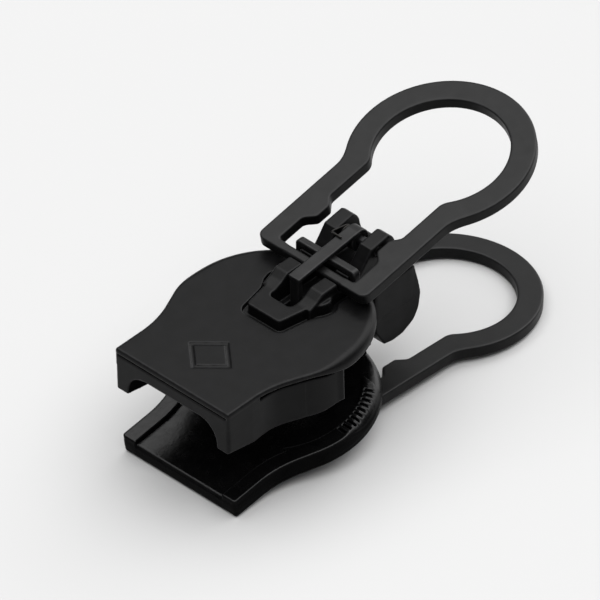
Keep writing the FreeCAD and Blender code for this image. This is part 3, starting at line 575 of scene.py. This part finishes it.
def upper_shell():
    plate = PLATE["upper"]
    cast = Cast((-REAR_OVER, -SHELL_BOX_HALF, -6.0), (19.9, SHELL_BOX_HALF, 2.45), SHELL_CELL)

    def outline(x, y):
        return rounded(with_tongue(x, y, TONGUE_HALF, NOSE_X), -REAR_OVER - x, 0.14)

    def inset(x):
        """How far the wall stands in from the lip."""
        return 0.26 * step(x, 1.8, 4.2) * (1 - step(x, 8.2, 9.2))

    def lip(x, y, z):
        """The top edge, which swells towards the nose."""
        front = step(x, *SWELL)
        above = rounded(outline(x, y), z, 0.16 + 0.42 * front)
        below = rounded(outline(x, y), -LIP - 0.54 * front - z, 0.14)
        return np.maximum(above, below)

    def body(x, y, z):
        under_nose = 0.85 * step(x, 7.6, 9.0)
        return rounded(outline(x, y) + inset(x) + under_nose, span(z, -plate, -0.1), 0.14)

    cast.put(lip)
    cast.put(body, k=0.06)

    def flange_profile(x, z):
        return np.maximum(polygon(FLANGE, x, z), -REAR_OVER - x)

    def flange(x, y, z):
        edge = sides(x, y) + inset(x)
        wall = np.maximum(edge, -(edge + FLANGE_WALL))
        return rounded(rounded(wall, flange_profile(x, z), 0.2), z + 0.5, 0.01)

    low, high = (-REAR_OVER, -6.7, -3.75), (8.9, 6.7, -0.4)
    cast.put(flange, low, high)

    def fillet(x, y, z):
        """The hollow curve between each flange and the plate, on the inner side."""
        edge = sides(x, y) + inset(x)
        kept_in = edge + 0.3
        wall = np.maximum(kept_in, -(edge + FLANGE_WALL))
        joined = smooth_min(wall, np.maximum(-plate - z, kept_in), 1.9)
        return np.maximum(np.maximum(joined, flange_profile(x, z)), np.maximum(kept_in, z + 0.4))

    cast.put(fillet, low, high)

    def side_groove(x, y, z):
        """The deep undercut below the lip, along each flank."""
        top = -LIP - 0.42 * step(x, *SWELL)
        tall = span(z, top - 0.30 * (1 - step(x, 7.4, 8.9)), top)
        return np.maximum(np.maximum(-(sides(x, y) + 0.72), tall), span(x, 2.75, 8.8))

    cast.cut(side_groove, (2.7, -6.7, -1.3), (8.9, 6.7, -0.3), 0.05)

    def rear_groove(x, y, z):
        """The thin line along the rear face, below the lip."""
        return np.maximum(np.maximum(x + REAR_OVER - 0.16, span(z, -0.52, -0.40)), np.abs(y) - 4.75)

    cast.cut(rear_groove, (-REAR_OVER - 0.1, -4.8, -0.6), (0.0, 4.8, -0.3), 0.05)

    def neck(x, y, z):
        return block(x, y, z, (15.7, -TONGUE_HALF, -3.6), (NOSE_X, TONGUE_HALF, -0.9), 0.22)

    cast.put(neck, (15.6, -2.7, -3.7), (19.3, 2.7, -0.8), 0.1)
    nose = [(19.28, -1.0), (19.62, -2.4), (19.82, -3.5), (19.6, -4.66), (19.12, -5.4), (18.1, -5.9)]
    nose += [(17.2, -5.96), (16.4, -5.8), (15.7, -4.5), (15.5, -3.4), (15.7, -1.0)]
    nose = corners(nose, [0, 1.5, 1.2, 1.2, 0.7, 0.8, 0.8, 0.18, 0.5, 0.5, 0])

    def barrel(x, y, z):
        return rounded(polygon(nose, x, z), np.abs(y) - TONGUE_HALF, 0.1)

    cast.put(barrel, (15.4, -2.7, -6.0), (19.9, 2.7, -1.0), 0.12)

    def gap(x, y, z):
        return block(x, y, z, (14.8, -1.28, -7.0), (20.4, 1.28, -0.88), 0.1)

    cast.cut(gap, (14.7, -1.4, -7.0), (20.5, 1.4, -0.8), 0.06)

    def bore(x, y, z):
        return np.maximum(np.hypot(x - HINGE[0], z - HINGE[2]) - 0.61, -1.9 - y)

    cast.cut(bore, (16.5, -2.0, -4.1), (18.0, 2.7, -2.7), 0.08)
    add_saddle(cast, PIVOT[0])
    add_lock_seat(cast, plate)

    def barb(x, y, z):
        stem = block(x, y, z, (12.7, -0.3, -2.7), (13.0, 0.3, -1.3), 0.06)
        hook = block(x, y, z, (12.7, -0.3, -2.7), (13.25, 0.3, -2.4), 0.06)
        return np.minimum(stem, hook)

    cast.put(barb, (12.6, -0.4, -2.8), (13.3, 0.4, -1.0), 0.03)

    def lozenge(x, y, z):
        """A plain engraved outline on the plate."""
        long, wide, middle = 1.7, 1.9, 3.3
        inner = (np.abs(x - middle) * wide + np.abs(y) * long - long * wide) / math.hypot(long, wide)
        line = np.abs(inner + 0.15) - 0.13
        return np.maximum(line, -0.09 - z)

    cast.cut(lozenge, (1.4, -2.1, -0.12), (5.2, 2.1, 0.1), 0.06)
    return cast


def lower_shell():
    plate = PLATE["lower"]
    cast = Cast((-REAR_OVER, -SHELL_BOX_HALF, -5.85), (19.75, SHELL_BOX_HALF, 1.25), SHELL_CELL)

    def outline(x, y):
        return rounded(with_tongue(x, y, MIDDLE_HALF, MIDDLE_FRONT), -REAR_OVER - x, 0.2)

    def front(x):
        return step(x, 8.0, 10.5)

    def body(x, y, z):
        above = rounded(outline(x, y), -plate - z, 0.28 + 0.6 * front(x))
        return np.maximum(above, rounded(outline(x, y), z, 0.28))

    cast.put(body)

    def rim(x, y, z):
        """The raised edge of the channel, well rounded on its outer side towards the nose."""
        edge = sides(x, y)
        outer = np.maximum(edge, outline(x, y))
        above = rounded(outer, -plate - 0.3 - z, 0.1 + 0.95 * front(x))
        inner = np.maximum(np.maximum(-(edge + 1.15), z + 0.5), x - 13.0)
        return np.maximum(above, inner)

    low, high = (-REAR_OVER, -6.7, -plate - 0.45), (13.2, 6.7, -0.4)
    cast.put(rim, low, high, 0.05)

    def neck(x, y, z):
        return block(x, y, z, (14.9, -MIDDLE_HALF, -3.6), (MIDDLE_FRONT, MIDDLE_HALF, -1.0), 0.12)

    cast.put(neck, (14.8, -1.3, -3.7), (16.3, 1.3, -0.9), 0.05)

    def barrel(x, y, z):
        return round_bar(x, y, z, HINGE[0], HINGE[2], KNUCKLE, -MIDDLE_HALF, MIDDLE_HALF, 0.12)

    cast.put(barrel, (14.8, -1.3, -5.85), (19.75, 1.3, -0.9), 0.05)

    def spring_slot(x, y, z):
        return block(x, y, z, (14.7, -0.6, -7.0), (20.2, 0.6, -plate), 0.08)

    cast.cut(spring_slot, (14.6, -0.7, -7.0), (20.3, 0.7, -plate), 0.04)

    def bore(x, y, z):
        return np.hypot(x - HINGE[0], z - HINGE[2]) - 0.65

    cast.cut(bore, (16.5, -1.5, -4.1), (18.1, 1.5, -2.7), 0.05)
    add_saddle(cast, LOWER_PIVOT[0])

    def serrations(x, y, z):
        """A row of short notches across the rim, every few degrees round the shoulder."""
        every, middle, reach = 4.2, 74, 21
        angle = np.degrees(np.arctan2(y, x - SHOULDER_X))
        radius = np.hypot(x - SHOULDER_X, y)
        notch = np.abs((angle / every + 0.5) % 1 - 0.5) * every * math.radians(1) * SHOULDER_R - 0.11
        place = np.maximum(np.abs(radius - (SHOULDER_R - 0.66)) - 0.34, np.abs(angle - middle) - reach)
        return np.maximum(np.maximum(notch, place), z + plate + 0.04)

    cast.cut(serrations, (8.2, 1.0, -plate - 0.5), (15.0, 6.7, -plate + 0.05), 0.06)
    return cast


# ---------------------------------------------------------------------------------------------------
# Lock parts and tabs


TAB_REAR = 0.325
TAB_HALF = 4.75
TAB_HALF_THICK = 0.425
RING_X = 11.95
RING_OUTER = 6.19
RING_INNER = 4.5


def tab():
    """The keyhole tab, flat in its own frame about the crossbar."""
    cast = Cast((-0.34, -6.22, -0.44), (18.17, 6.22, 0.44), 0.07)
    half = [(TAB_REAR, 3.3), (2.5, 3.3), (3.15, 2.6), (4.3, 2.6), (4.95, 3.15), (8.8, 3.15)]
    opening = both_sides(half, [0.22, 0.5, 0.35, 0.35, 0.5, 0])

    def plan(x, y):
        arms = rounded(span(x, -TAB_REAR, 11.0), np.abs(y) - TAB_HALF, 0.6)
        centre = np.hypot(x - RING_X, y)
        filled = smooth_min(arms, centre - RING_OUTER, 0.55)
        hollow = smooth_min(centre - RING_INNER, polygon(opening, x, y), 0.3)
        return smooth_max(filled, -hollow, 0.02)

    def blade(x, y, z):
        """The flat blade, with the part of its crossbar that turns in the saddle rounder."""
        turning = 1 - step(np.abs(y), 2.4, 2.8)
        at_bar = 1 - step(x, 0.5, 0.8)
        r = 0.12 + 0.08 * turning * at_bar
        return rounded(plan(x, y), np.abs(z) - TAB_HALF_THICK, r)

    cast.put(blade)
    return cast


def keeper():
    """The staple that holds a crossbar in its saddle."""
    cast = Cast((13.78, -2.62, -0.52), (14.37, 2.62, 1.68), 0.04)
    foot, under, top, inside = -0.5, 1.21, 1.66, 2.18
    staple = [(-STAPLE_HALF, foot), (-inside, foot), (-inside, under), (inside, under)]
    staple += [(inside, foot), (STAPLE_HALF, foot), (STAPLE_HALF, top), (-STAPLE_HALF, top)]
    staple = corners(staple, [0, 0, 0.18, 0.18, 0, 0, 0.34, 0.34])

    def shape(x, y, z):
        return rounded(polygon(staple, y, z), span(x, *STAPLE), 0.09)

    cast.put(shape)
    return cast


def lever(plate):
    """The lock lever: a strip from its eye over both bars, and a toe down through the plate."""
    cast = Cast((10.9, -0.5, -plate - 1.02), (17.42, 0.5, 2.32), 0.04)
    low = -plate - 1.0
    half, eye_r = 0.475, 0.78
    pin_x, _, pin_z = LEVER_PIN
    eye_top = pin_z + eye_r
    toe = [(10.95, 1.65), (10.95, low + 0.3), (11.15, low), (11.35, low + 0.3), (11.35, 1.4)]
    toe = corners(toe, [0.1, 0.05, 0.08, 0.05, 0])
    strip = [(10.95, 1.65), (10.95, 1.37), (16.3, eye_top - 0.3), (pin_x, eye_top - 0.1), (16.5, eye_top)]
    strip = corners(strip, [0.06, 0.1, 0.0, 0.05, 0.3])

    def tongue(x, y, z):
        return rounded(polygon(toe, x, z), np.abs(y) - 0.38, 0.05)

    def top(x, y, z):
        return rounded(polygon(strip, x, z), np.abs(y) - half, 0.075)

    def eye(x, y, z):
        return round_bar(x, y, z, pin_x, pin_z, eye_r, -half, half, 0.08)

    def bore(x, y, z):
        return np.hypot(x - pin_x, z - pin_z) - 0.4

    cast.put(tongue)
    cast.put(top, k=0.06)
    cast.put(eye, (15.7, -0.5, 0.6), (17.5, 0.5, 2.4), 0.1)
    cast.cut(bore, (16.1, -0.6, 1.0), (17.1, 0.6, 2.0), 0.03)
    return cast


def wedge():
    """The wedge that parts the chain, slotted for the latch."""
    plate = PLATE["lower"]
    height = 4.14
    cast = Cast((11.6, -2.4, -plate - height - 0.02), (14.8, 2.4, -plate + 0.02), 0.07)
    outline = both_sides([(11.7, 0.35), (14.3, 2.35), (14.78, 2.35)], [0.3, 0.3, 0.1])

    def shape(x, y, z):
        return rounded(polygon(outline, x, y), span(z, -plate - height, -plate), 0.1)

    def slot(x, y, z):
        return block(x, y, z, (12.6, -0.4, -plate - height - 1), (16, 0.4, 0), 0.08)

    cast.put(shape)
    cast.cut(slot, k=0.05)
    return cast


def latch():
    """The hook that keeps the jaws shut, in a frame about its own pin."""
    cast = Cast((-1.02, -0.34, -3.02), (0.48, 0.34, 0.48), 0.04)
    half = 0.32
    arm = [(-0.3, 0.0), (0.2, 0.0), (0.2, -3.0), (-0.8, -3.0), (-1.0, -2.55), (-0.3, -2.55)]
    arm = corners(arm, [0, 0, 0.15, 0.08, 0.08, 0.1])

    def shape(x, y, z):
        return rounded(polygon(arm, x, z), np.abs(y) - half, 0.06)

    def boss(x, y, z):
        return round_bar(x, y, z, 0, 0, 0.46, -half, half, 0.06)

    def bore(x, y, z):
        return np.hypot(x, z) - 0.34

    cast.put(shape)
    cast.put(boss, k=0.05)
    cast.cut(bore, k=0.02)
    return cast


# ---------------------------------------------------------------------------------------------------
# Pins and wires


def lathe(profile, centre, segments=64):
    """A solid of revolution about Y from (radius, y) points, closed at both ends."""
    points, faces = [], []
    for radius, y in profile:
        for n in range(segments):
            t = 2 * math.pi * n / segments
            points.append((centre[0] + radius * math.cos(t), y, centre[1] + radius * math.sin(t)))
    for ring in range(len(profile) - 1):
        for n in range(segments):
            a, b = ring * segments + n, ring * segments + (n + 1) % segments
            faces.append((a, a + segments, b + segments, b))
    return np.array(points, float), faces


def pin_profile(radius, low, high, rounding=0.08):
    """A pin's outline from its low end to its high end, both rounded off."""
    tip = 0.002
    turns = [share * math.pi / 2 for share in (0.0, 0.35, 0.7, 1.0)]
    flat = radius - rounding
    rise = [(flat + rounding * math.sin(t), low + rounding - rounding * math.cos(t)) for t in turns]
    fall = [(flat + rounding * math.sin(t), high - rounding + rounding * math.cos(t)) for t in turns[::-1]]
    return [(tip, low), *rise, *fall, (tip, high)]


def pin(name, x, z, radius, low, high, placement, body, slot, *nodes):
    points, faces = lathe(pin_profile(radius, low, high), (x, z))
    return make_piece(name, points, faces, placement, PIN, body, slot, nodes)


def tube(path, radius, around=16):
    """Round wire along a path, with domed ends."""
    path = np.array(path, float)
    ahead = np.gradient(path, axis=0)
    ahead /= np.linalg.norm(ahead, axis=1)[:, None]
    side = np.cross(ahead[0], (0.3, 0.9, 0.2))
    rings = []
    for place, way in zip(path, ahead):
        side = side - way * (side @ way)
        side /= np.linalg.norm(side)
        rings.append((place, side, np.cross(way, side)))
    dome = [(math.sin(t), math.cos(t)) for t in (0.05, 0.5, 1.0)]
    levels = [(0, s, -c) for s, c in dome] + [(n, 1, 0) for n in range(len(path))]
    levels += [(len(path) - 1, s, c) for s, c in reversed(dome)]
    points, faces = [], []
    for index, scale, push in levels:
        place, u, v = rings[index]
        for n in range(around):
            t = 2 * math.pi * n / around
            offset = (u * math.cos(t) + v * math.sin(t)) * scale + ahead[index] * push
            points.append(place + offset * radius)
    for ring in range(len(levels) - 1):
        for n in range(around):
            a, b = ring * around + n, ring * around + (n + 1) % around
            faces.append((a, b, b + around, a + around))
    return np.array(points), faces


def lever_spring_path():
    """A leg down to the plate, two turns round the pin, then over the strip as a hook."""
    radius = 0.46
    low, high = 0.575, 0.9
    back, rise = 1.25, 0.74
    leaves = math.atan2(rise, -back) - math.acos(radius / math.hypot(back, rise))
    sweep = 4 * math.pi + leaves
    path = [(radius, low, z) for z in np.linspace(-1.1, -0.1, 8)]
    for n in range(81):
        t = n / 80
        path.append((radius * math.cos(sweep * t), low + (high - low) * t, radius * math.sin(sweep * t)))
    start = np.array(path[-1])
    hook = np.array((-back, high, rise))
    for t in np.linspace(0.15, 0.85, 6):
        path.append(tuple(start + (hook - start) * t))
    before = start + (hook - start) * 0.85
    after = hook - np.array((0, 0.18, 0))
    for t in (0.3, 0.55, 0.8, 1.0):
        path.append(tuple(before * (1 - t) ** 2 + hook * 2 * t * (1 - t) + after * t * t))
    path += [(hook[0], y, hook[2]) for y in np.linspace(0.55, 0.05, 6)]
    return np.array(path) + np.array(LEVER_PIN)


def jaw_spring_path():
    """Two turns round the hinge pin, with a leg to each shell."""
    radius, side, turns = 0.83, 0.34, 2
    path = [(radius, -side, z) for z in np.linspace(1.25, 0.15, 8)]
    for n in range(97):
        t = n / 96
        angle = -2 * math.pi * turns * t
        path.append((radius * math.cos(angle), -side + 2 * side * t, radius * math.sin(angle)))
    path += [(radius, side, z) for z in np.linspace(-0.15, -1.45, 8)]
    return np.array(path) + np.array(HINGE)


def wire(name, path, radius, placement, body, *nodes):
    points, faces = tube(path, radius)
    return make_piece(name, points, faces, placement, SPRING, body, "spring_dark", nodes)


def leaf():
    """The bowed leaf behind the latch."""
    plate = PLATE["lower"]
    points, faces = [], []
    levels = 24
    for n in range(levels + 1):
        t = n / levels
        z = -plate - 0.01 - 1.88 * t
        bow = 0.055 * 4 * t * (1 - t)
        for x, y in ((14.65, -0.24), (14.65, 0.24), (14.73, 0.24), (14.73, -0.24)):
            points.append((x + bow, y, z))
    for n in range(levels):
        for side in range(4):
            a, b = n * 4 + side, n * 4 + (side + 1) % 4
            faces.append((a, b, b + 4, a + 4))
    faces.append((3, 2, 1, 0))
    last = levels * 4
    faces.append((last, last + 1, last + 2, last + 3))
    return np.array(points, float), faces


# ---------------------------------------------------------------------------------------------------
# The object

solid("upper_shell_cast", upper_shell(), UPPER, SHELL, "upper_body", "shell_black", "upper_shell")
solid("lower_shell_cast", lower_shell(), LOWER, LOWER_SHELL_PAINTED_SHADE, "lower_body", "shell_black", "lower_shell")
solid("neck_wedge_cast", wedge(), LOWER, LOWER_SHELL_PAINTED_SHADE, "lower_body", "shell_black", "neck_wedge")

for side, place, tab_place in (("upper", UPPER, UPPER_TAB), ("lower", LOWER, LOWER_TAB)):
    solid(f"{side}_tab_blade", tab(), tab_place, TAB, f"{side}_tab", "tab_black", f"{side}_pull_tab")
    solid(f"{side}_staple", keeper(), place, LOCK, f"{side}_body", "lock_black", f"{side}_keeper")

solid("lever_strip", lever(PLATE["upper"]), UPPER, LOCK, "lever", "lock_black", "lock_lever")
lever_x, _, lever_z = LEVER_PIN
pin("lever_shank", lever_x, lever_z, 0.36, -2.08, 2.08, UPPER, "upper_body", "pin_dark", "lever_pin")
wire("lever_coil", lever_spring_path(), 0.07, UPPER, "lever", "lever_spring")
pin("hinge_shank", HINGE[0], HINGE[2], 0.6, -1.9, 2.58, UPPER, "upper_body", "pin_dark", "hinge_pin")
wire("jaw_coil", jaw_spring_path(), 0.16, LOWER, "lower_body", "jaw_spring")
LATCH_AT = LOWER @ moved(*LATCH_PIN) @ turned("Y", -LATCH_ANGLE)
solid("jaw_hook", latch(), LATCH_AT, LOCK, "latch", "lock_black", "jaw_latch")
latch_x, _, latch_z = LATCH_PIN
pin("latch_shank", latch_x, latch_z, 0.3, -1.7, 1.7, LOWER, "lower_body", "pin_dark", "latch_pin")
make_piece("latch_leaf", *leaf(), LOWER, SPRING, "lower_body", "spring_dark", ("latch_spring",))
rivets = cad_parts["wedge_rivets"].data.materials
rivets.clear()
rivets.append(PIN)

# ---------------------------------------------------------------------------------------------------
# Floor, light and camera


def floor():
    size = 1.5
    mesh = bpy.data.meshes.new("floor")
    edge = [(-size, -size, 0), (size, -size, 0), (size, size, 0), (-size, size, 0)]
    mesh.from_pydata(edge, [], [(0, 1, 2, 3)])
    ground = bpy.data.objects.new("floor", mesh)
    bpy.context.scene.collection.objects.link(ground)
    material, tree, shader = material_of("pale_floor")
    tone = blend_colour(tree, noise(tree, 12, 2), (0.52, 0.52, 0.52), (0.53, 0.53, 0.53))
    tree.links.new(tone, shader.inputs["Base Color"])
    shader.inputs["Roughness"].default_value = 0.9
    shader.inputs["Specular IOR Level"].default_value = 0.1
    mesh.materials.append(material)


def sky():
    """A white studio: brightest overhead, with a dark horizon and a soft panel beyond the nose."""
    world = bpy.data.worlds.new("studio")
    bpy.context.scene.world = world
    world.use_nodes = True
    tree = world.node_tree
    background = tree.nodes["Background"]
    coordinates = tree.nodes.new("ShaderNodeTexCoord")
    parts = tree.nodes.new("ShaderNodeSeparateXYZ")
    tree.links.new(coordinates.outputs["Generated"], parts.inputs["Vector"])
    ramp = tree.nodes.new("ShaderNodeValToRGB")
    ramp.color_ramp.interpolation = "EASE"
    stops = ((0.0, 0.02), (0.30, 0.04), (0.56, 0.09), (0.66, 0.21), (0.78, 0.92), (0.92, 1.0))
    elements = ramp.color_ramp.elements
    while len(elements) < len(stops):
        elements.new(0.5)
    for element, (place, level) in zip(elements, stops):
        element.position = place
        element.color = (level, level, level, 1)
    tree.links.new(parts.outputs["Z"], ramp.inputs["Fac"])
    panel = tree.nodes.new("ShaderNodeVectorMath")
    panel.operation = "DOT_PRODUCT"
    panel.inputs[1].default_value = tuple(Vector((0.90, 0.05, 0.40)).normalized())
    tree.links.new(coordinates.outputs["Generated"], panel.inputs[0])
    glow = mapped(tree, panel.outputs["Value"], 0.82, 0.97, 0, 0.7)
    level = maths(tree, "ADD", ramp.outputs["Color"], glow)
    tree.links.new(level, background.inputs["Color"])
    background.inputs["Strength"].default_value = 3.0


def camera():
    """A long lens over the rear edge's left end, aimed at the middle of the slider."""
    turn, rise, distance = math.radians(46.2), math.radians(38.7), 1.262
    ahead = Vector((math.sin(turn) * math.cos(rise), math.cos(turn) * math.cos(rise), -math.sin(rise)))
    right = Vector((math.cos(turn), -math.sin(turn), 0))
    up = right.cross(ahead)
    anchor = Vector(UPPER[:3, 3])
    target = (anchor + right * 7.95 + up * 5.04) * MM
    data = bpy.data.cameras.new("camera")
    data.lens = 1200
    data.sensor_width = 36
    data.clip_start = 0.01
    data.clip_end = 20
    view = bpy.data.objects.new("camera", data)
    view.location = target - ahead * distance
    view.rotation_euler = ahead.to_track_quat("-Z", "Y").to_euler()
    bpy.context.scene.collection.objects.link(view)
    bpy.context.scene.camera = view


floor()
sky()
camera()
bpy.context.scene.view_settings.view_transform = "Standard"
